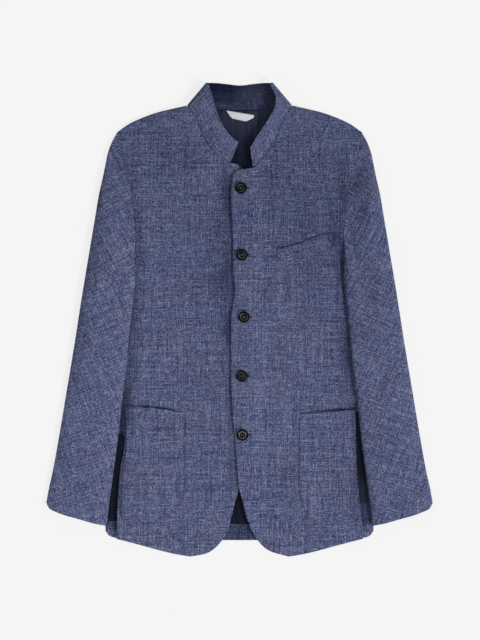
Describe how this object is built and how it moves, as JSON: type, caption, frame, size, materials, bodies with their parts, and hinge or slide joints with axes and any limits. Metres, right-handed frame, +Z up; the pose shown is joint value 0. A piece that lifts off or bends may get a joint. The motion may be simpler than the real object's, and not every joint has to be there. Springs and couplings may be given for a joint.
{
  "type": "nehru jacket",
  "caption": "Nehru jacket of slubbed linen with a band collar, button front, patch pockets, a breast welt and side vents, buttoned and laid flat on its back.",
  "frame": {"origin": "centre of the underside's bounding box, on the surface the jacket lies on", "axes": "+X towards the wearer's left, +Y from the hem to the collar, +Z up from the surface"},
  "size_m": [0.6676, 0.8192, 0.0167],
  "materials": {
    "linen": "slubbed plain weave",
    "lining": "smooth twill",
    "button": "polished",
    "label": "plain woven"
  },
  "bodies": {
    "root": {"back_left": "linen", "back_right": "linen", "back_lining": "lining", "back_hem": "linen", "front_left": "linen", "front_right": "linen", "sleeve_left_top": "linen", "sleeve_left_under": "linen", "sleeve_right_top": "linen", "sleeve_right_under": "linen", "collar": "linen", "pocket_left": "linen", "pocket_right": "linen", "breast_pocket": "linen", "neck_label": "label", "button_1": "button", "button_2": "button", "button_3": "button", "button_4": "button", "button_5": "button"}
  },
  "joints": []
}
